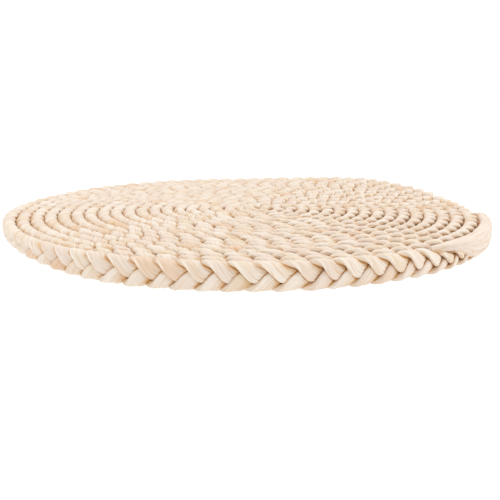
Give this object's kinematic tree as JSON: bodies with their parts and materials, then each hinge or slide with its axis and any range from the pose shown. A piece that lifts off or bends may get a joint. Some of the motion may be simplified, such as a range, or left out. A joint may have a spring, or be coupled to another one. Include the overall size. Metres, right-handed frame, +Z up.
{
  "type": "chair seat pad",
  "caption": "Round, flat, firm seat pad coiled from a three-strand plait of pale maize husk that stands on edge, sewn turn to turn with a hidden twine.",
  "frame": {"origin": "centre of the pad's underside, at the middle of its bounding box", "axes": "+Z up through the pad's thickness; +X to the right, towards the side where the plait's tail ends; +Y to the back"},
  "size_m": [0.399, 0.3944, 0.019],
  "materials": {
    "husk_plait": "dry plaited maize husk, matt with a faint silky sheen",
    "husk_tail": "dry maize husk, smooth and unplaited",
    "lacing_twine": "two-ply jute-coloured sewing twine, matt"
  },
  "bodies": {
    "root": {"braid_start_fold": "husk_plait", "braid_turn_01": "husk_plait", "braid_turn_02": "husk_plait", "braid_turn_03": "husk_plait", "braid_turn_04": "husk_plait", "braid_turn_05": "husk_plait", "braid_turn_06": "husk_plait", "braid_turn_07": "husk_plait", "braid_turn_08": "husk_plait", "braid_turn_09": "husk_plait", "braid_turn_10": "husk_plait", "braid_turn_11": "husk_plait", "braid_turn_12": "husk_plait", "braid_turn_13": "husk_plait", "braid_turn_14": "husk_plait", "braid_turn_15": "husk_plait", "braid_turn_16": "husk_plait", "braid_turn_17": "husk_plait", "braid_turn_18": "husk_plait", "braid_tail": "husk_tail", "lacing_twine": "lacing_twine"}
  },
  "joints": []
}
